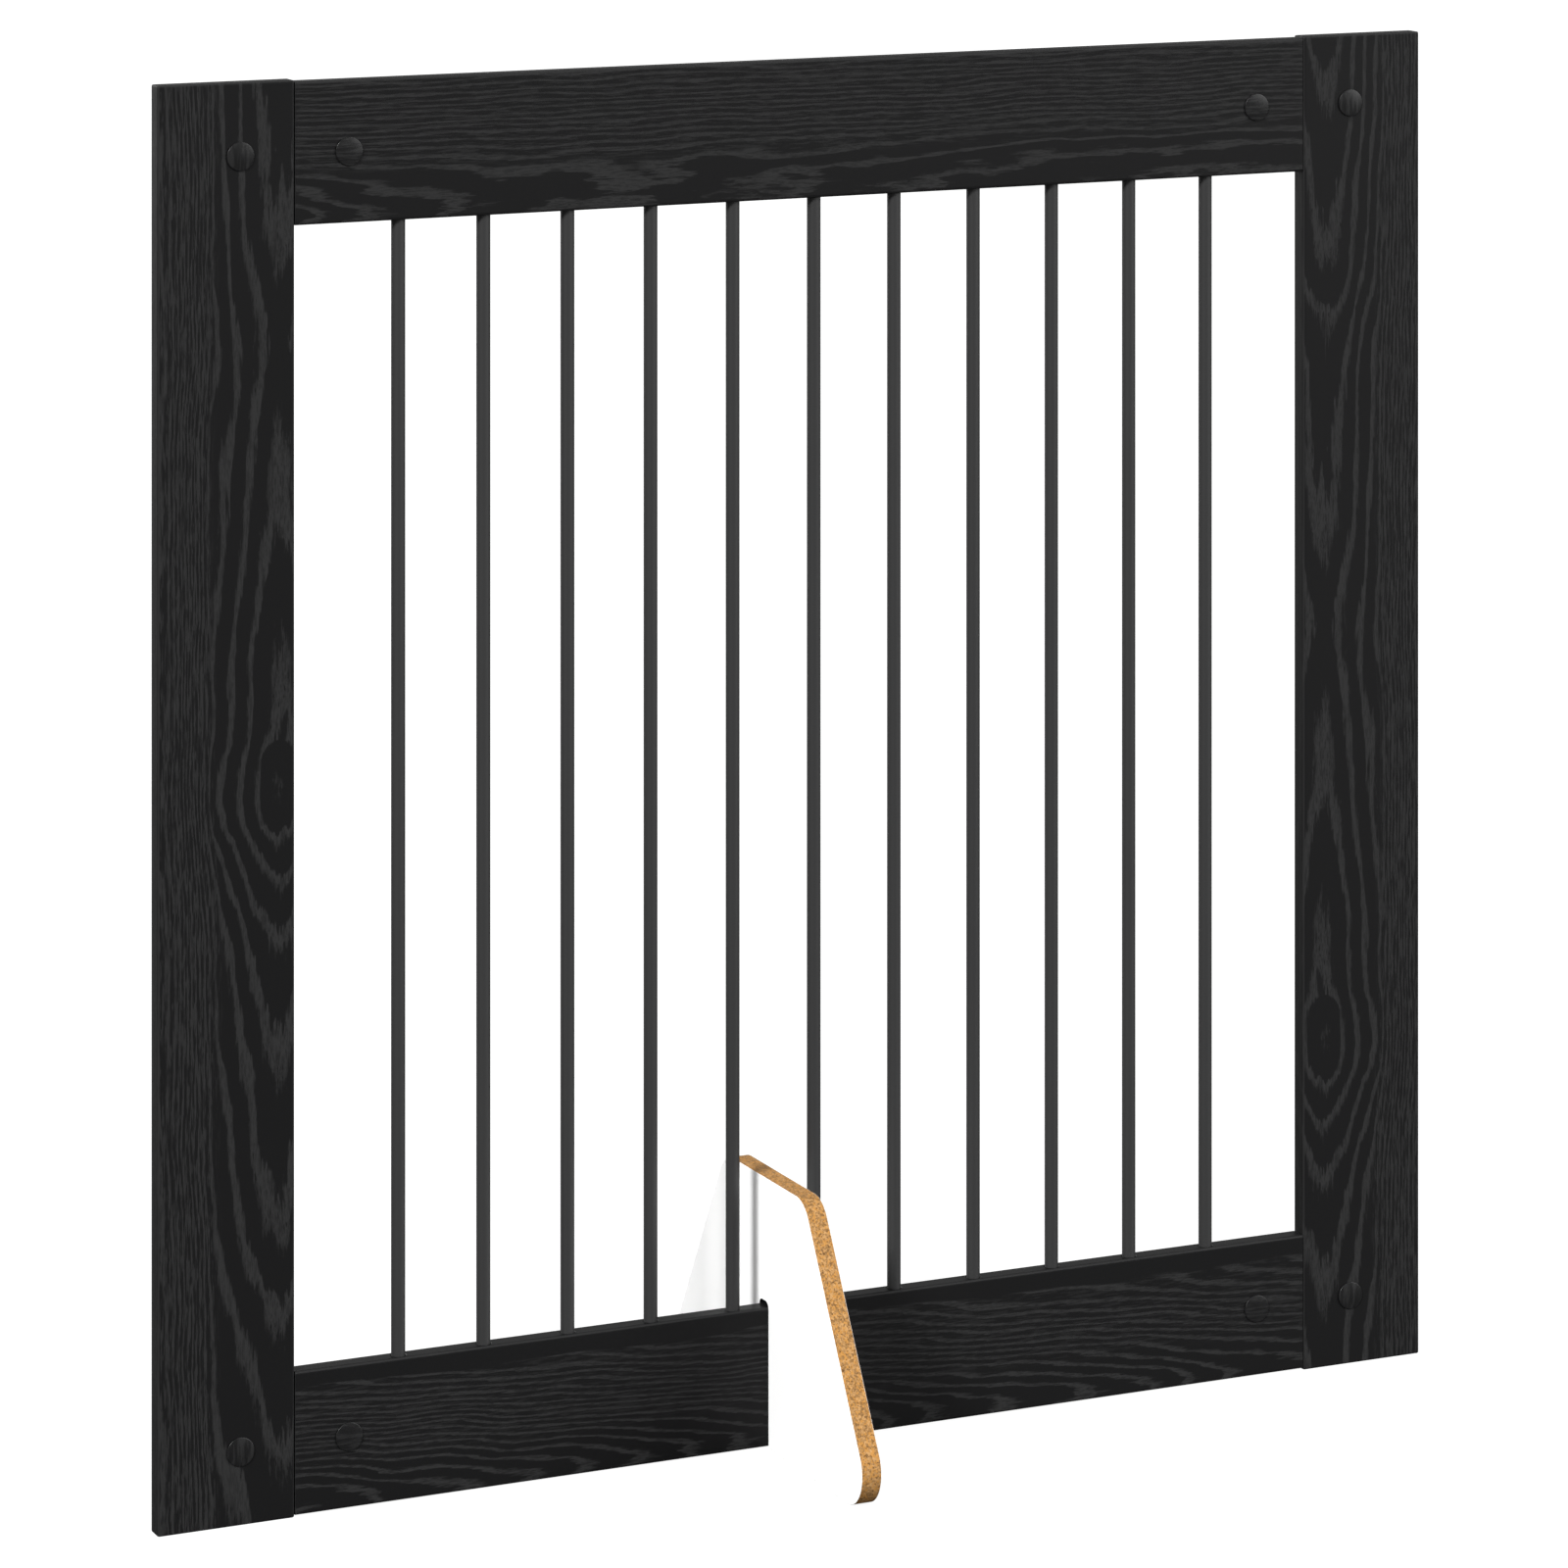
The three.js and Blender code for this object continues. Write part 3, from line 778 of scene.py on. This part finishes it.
def foot_outline():
    """The foot in (Y, Z): a trapezoid with round corners and a notch open below, for the rail."""
    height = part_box("support_foot")[1].z
    notch_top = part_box("rail_bottom")[1].z + NOTCH_HEADROOM
    base, top, notch = FOOT_BASE / 2, FOOT_TOP / 2, NOTCH_WIDTH / 2
    return rounded_corners([
        (notch, 0, 0, 0),
        (base, 0, FOOT_CORNER, FOOT_CORNER_STEPS),
        (top, height, FOOT_CORNER, FOOT_CORNER_STEPS),
        (-top, height, FOOT_CORNER, FOOT_CORNER_STEPS),
        (-base, 0, FOOT_CORNER, FOOT_CORNER_STEPS),
        (-notch, 0, 0, 0),
        (-notch, notch_top, NOTCH_CORNER, NOTCH_CORNER_STEPS),
        (notch, notch_top, NOTCH_CORNER, NOTCH_CORNER_STEPS),
    ])


def offset_inwards(outline, distance):
    """The outline moved to its left by distance: each point along the mean of its sides' normals."""
    side = np.roll(outline, -1, 0) - outline
    normal = np.stack([-side[:, 1], side[:, 0]], -1)
    normal /= np.linalg.norm(normal, axis=1)[:, None]
    mean = normal + np.roll(normal, 1, 0)
    mean /= (mean * mean).sum(1)[:, None] / 2
    return outline + mean * distance


def slab(name, stations):
    """A plate square to X: each station is (x, outline), and the first and last are closed."""
    count = len(stations[0][1])
    rings = [np.concatenate([np.full((count, 1), x), outline], 1) for x, outline in stations]
    return mesh_object(name, np.concatenate(rings), skin_faces(len(rings), count))


def make_foot(edge_material, face_material):
    outline = foot_outline()
    eased = offset_inwards(outline, LAMINATE_EASE)
    low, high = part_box("support_foot")
    core = slab("foot_core", [(low.x + LAMINATE, outline), (high.x - LAMINATE, outline)])
    left = slab("foot_face_left", [
        (low.x, eased), (low.x + LAMINATE_EASE, outline), (low.x + LAMINATE, outline),
    ])
    right = slab("foot_face_right", [
        (high.x - LAMINATE, outline), (high.x - LAMINATE_EASE, outline), (high.x, eased),
    ])
    finish_piece(core, FOOT_BODY, edge_material, "foot_board", "support_foot")
    finish_piece(left, FOOT_BODY, face_material, "foot_board", "support_foot")
    finish_piece(right, FOOT_BODY, face_material, "foot_board", "support_foot")


def dress_fittings(corners):
    """The hidden fittings keep their solids and get their metals and wood."""
    zinc = cast_zinc("die_cast_zinc")
    steel = plated_steel("plated_steel")
    beech = beech_dowel("beech")
    dressed = [(f"cam_{corner}_{kind}", zinc) for corner in corners for kind in ("stile", "rail")]
    dressed += [("bolt_" + corner, steel) for corner in corners]
    dressed += [(f"dowel_{corner}_{place}", beech) for corner in corners for place in ("upper", "lower")]
    for node, material in dressed:
        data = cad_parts[node].data
        data.materials.clear()
        data.materials.append(material)


# ---------------------------------------------------------------- stage

AMBIENT = 0.5                # the share of the white surroundings that lights the object
FLOOR_REACH = 40.0
FLOOR_GLOW = 0.95
LIGHT_DISTANCE = 4.0         # only where the lights' marks stand: they light as if from far away
LIGHTS = (
    # name, turn, height, spread and strength, as far_light takes them
    ("key", 56.5, 36, 14, 1.45),
    ("side", -48, 20, 40, 0.85),
    ("back", 165, 12, 40, 0.45),
)


def make_floor():
    """A wide pale floor, overexposed as paper under studio light is: the view sees it white, and the
    object gets only a little light back from it."""
    corners = [(x * FLOOR_REACH, y * FLOOR_REACH, 0) for x, y in ((-1, -1), (1, -1), (1, 1), (-1, 1))]
    floor = mesh_object("floor", corners, [[0, 1, 2, 3]], smooth=False)
    paper = Finish("floor_paper")
    seen = paper.node("ShaderNodeLightPath").outputs["Is Camera Ray"]
    cloud = paper.noise(paper.place_mm(), (900, 900, 900), 2)
    plain = paper.mixed(cloud, (0.12, 0.12, 0.12, 1), (0.124, 0.124, 0.124, 1))
    paper.surface(colour=plain, roughness=1.0, specular=0.0)
    paper.set(paper.shader.inputs["Emission Color"], (1, 1, 1, 1))
    paper.set(paper.shader.inputs["Emission Strength"], paper.math("MULTIPLY", seen, FLOOR_GLOW))
    floor.data.materials.append(paper.material)


def make_world():
    """White all round: the view sees it in full, and the object gets a share of it."""
    world = bpy.data.worlds.new("studio")
    bpy.context.scene.world = world
    world.use_nodes = True
    tree = world.node_tree
    background = tree.nodes["Background"]
    background.inputs["Color"].default_value = (1, 1, 1, 1)
    rays = tree.nodes.new("ShaderNodeLightPath")
    seen = tree.nodes.new("ShaderNodeMapRange")
    seen.inputs["To Min"].default_value = AMBIENT
    seen.inputs["To Max"].default_value = 1.0
    tree.links.new(rays.outputs["Is Camera Ray"], seen.inputs["Value"])
    tree.links.new(seen.outputs[0], background.inputs["Strength"])


def far_light(name, turn, height, spread, strength):
    """A large soft light far away. turn is the angle round from -Y towards -X, height the angle above
    level and spread how wide it looks, all in degrees. A white surface square to it gets the radiance
    strength."""
    turn, height, spread = map(math.radians, (turn, height, spread))
    flat = math.cos(height)
    towards = Vector((-math.sin(turn) * flat, -math.cos(turn) * flat, math.sin(height)))
    light = bpy.data.lights.new(name, "SUN")
    light.angle = spread
    light.energy = strength * math.pi
    lamp = bpy.data.objects.new(name, light)
    bpy.context.scene.collection.objects.link(lamp)
    lamp.rotation_euler = (-towards).to_track_quat("-Z", "Y").to_euler()
    lamp.location = towards * LIGHT_DISTANCE


def make_camera():
    """A level view camera whose film, taken as in front of the lens, is slid down, so that uprights
    stay upright. Its picture is that of a camera whose third axis points at the middle of the film,
    while the first two stay in the film's plane, so the camera hangs from a leaning holder."""
    right = Vector((math.cos(CAMERA_TURN), math.sin(CAMERA_TURN), 0))
    forward = Vector((-math.sin(CAMERA_TURN), math.cos(CAMERA_TURN), 0))
    up = Vector((0, 0, 1))
    to_film = LENS_TO_FILM_MM * forward + FILM_SLIDE_MM.x * right + FILM_SLIDE_MM.y * up
    lens = bpy.data.cameras.new("camera")
    lens.sensor_width = FILM_WIDTH_MM
    lens.lens = to_film.length
    lens.clip_start = NEAREST
    lens.clip_end = FARTHEST
    camera = bpy.data.objects.new("camera", lens)
    holder = bpy.data.objects.new("camera_holder", None)
    bpy.context.scene.collection.objects.link(holder)
    bpy.context.scene.collection.objects.link(camera)
    columns = Matrix((right, up, -to_film.normalized())).transposed().to_4x4()
    camera.parent = holder
    camera.matrix_parent_inverse = Matrix.Translation(CAMERA_PLACE) @ columns
    bpy.context.scene.camera = camera


# ---------------------------------------------------------------- the gate

corners = ["top_left", "top_right", "bottom_left", "bottom_right"]
rods = sorted(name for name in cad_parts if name.startswith("rod_"))

figures = {
    "stile_left": Figure(
        heart=-329, side=-1, depths=STILE_DEPTHS_MM, ring=6.5, bend=13, beside=(36, 68, 8), fade=60,
        sway=8, wave=0.4, dim=0.6, seed=3),
    "stile_right": Figure(
        heart=334, side=1, depths=STILE_DEPTHS_MM, ring=6.5, bend=13, beside=(35, 70, 8), fade=60,
        sway=8, wave=0.4, dim=0.6, seed=3, shift=210),
    "rail_top": Figure(
        heart=721, side=1, depths=TOP_RAIL_DEPTHS_MM, ring=6.3, bend=9, beside=(24, 90, 7), fade=22,
        sway=5, wave=0.8, dim=0.5, seed=140, threads=0.6, across=2, along=0),
    "rail_bottom": Figure(
        heart=5, side=1, depths=BOTTOM_RAIL_DEPTHS_MM, ring=4.3, bend=9, beside=(20, 60, 3.5), fade=90,
        sway=6, wave=0.7, dim=0.4, seed=220, threads=0.45, calm=(71, 5.5), across=2, along=0),
}
boards = {node: stained_wood("stain_" + node, figure) for node, figure in figures.items()}
rod_material = powder_coat("grey_powder_coat")
cover_materials = {
    "stile": cover_finish("cover_upright_grain", 2),
    "rail": cover_finish("cover_level_grain", 0),
}

make_stiles(boards)
make_rails(boards, rods)
make_rods(rods, rod_material)
make_covers(corners, cover_materials)
make_foot(chip_board("raw_chip_board"), white_laminate("white_laminate"))
dress_fittings(corners)

make_floor()
make_world()
for light in LIGHTS:
    far_light(*light)
make_camera()
bpy.context.scene.view_settings.view_transform = "Standard"
